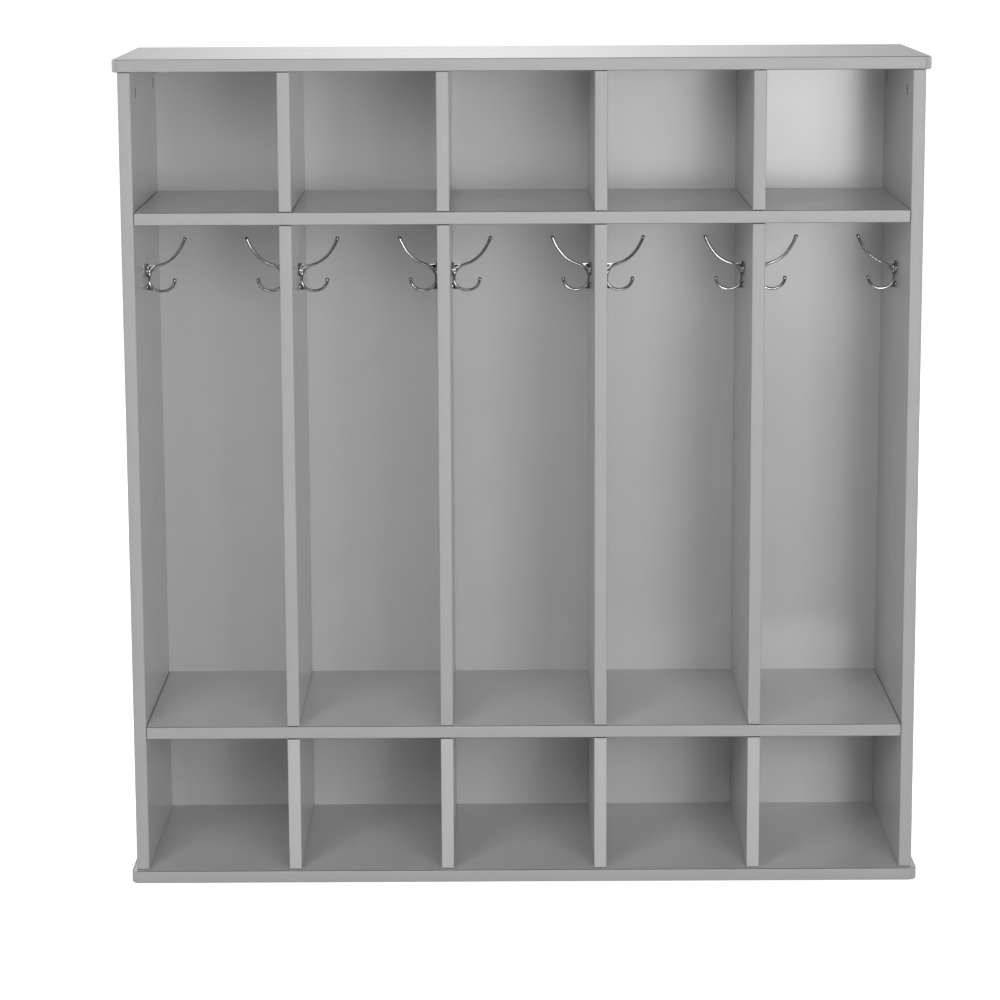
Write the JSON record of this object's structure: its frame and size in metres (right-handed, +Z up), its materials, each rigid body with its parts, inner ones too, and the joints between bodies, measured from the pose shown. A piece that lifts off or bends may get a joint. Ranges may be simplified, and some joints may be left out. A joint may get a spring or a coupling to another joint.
{
  "type": "coat locker unit",
  "caption": "Open-front mudroom coat locker in grey laminate: side-by-side bays with a cubby above and below, and a chrome double-prong hook on each wall of the tall bays.",
  "frame": {"origin": "on the floor, below the middle of the unit's bounding box", "axes": "+X to the right as seen from the front, +Y from the open front to the back panel, +Z up"},
  "size_m": [1.2192, 0.381, 1.27],
  "materials": {
    "laminate": "satin light grey laminate on board, with matching edge band",
    "chrome": "polished chrome plating",
    "zinc": "plain die-cast zinc",
    "steel": "bright zinc-plated steel"
  },
  "bodies": {
    "root": {"top_panel": "laminate", "base_panel": "laminate", "left_side_panel": "laminate", "right_side_panel": "laminate", "upper_shelf": "laminate", "lower_shelf": "laminate", "lower_divider_1": "laminate", "lower_divider_2": "laminate", "lower_divider_3": "laminate", "lower_divider_4": "laminate", "middle_divider_1": "laminate", "middle_divider_2": "laminate", "middle_divider_3": "laminate", "middle_divider_4": "laminate", "upper_divider_1": "laminate", "upper_divider_2": "laminate", "upper_divider_3": "laminate", "upper_divider_4": "laminate", "back_panel": "laminate", "bay_1_left_hook": "chrome", "bay_1_right_hook": "chrome", "bay_2_left_hook": "chrome", "bay_2_right_hook": "chrome", "bay_3_left_hook": "chrome", "bay_3_right_hook": "chrome", "bay_4_left_hook": "chrome", "bay_4_right_hook": "chrome", "bay_5_left_hook": "chrome", "bay_5_right_hook": "chrome", "left_front_cam_lock": "zinc", "left_rear_cam_lock": "zinc", "right_front_cam_lock": "zinc", "right_rear_cam_lock": "zinc", "left_front_cam_bolt": "steel", "left_rear_cam_bolt": "steel", "right_front_cam_bolt": "steel", "right_rear_cam_bolt": "steel", "bay_1_left_hook_screw_1": "steel", "bay_1_left_hook_screw_2": "steel", "bay_1_right_hook_screw_1": "steel", "bay_1_right_hook_screw_2": "steel", "bay_2_left_hook_screw_1": "steel", "bay_2_left_hook_screw_2": "steel", "bay_2_right_hook_screw_1": "steel", "bay_2_right_hook_screw_2": "steel", "bay_3_left_hook_screw_1": "steel", "bay_3_left_hook_screw_2": "steel", "bay_3_right_hook_screw_1": "steel", "bay_3_right_hook_screw_2": "steel", "bay_4_left_hook_screw_1": "steel", "bay_4_left_hook_screw_2": "steel", "bay_4_right_hook_screw_1": "steel", "bay_4_right_hook_screw_2": "steel", "bay_5_left_hook_screw_1": "steel", "bay_5_left_hook_screw_2": "steel", "bay_5_right_hook_screw_1": "steel", "bay_5_right_hook_screw_2": "steel"}
  },
  "joints": []
}
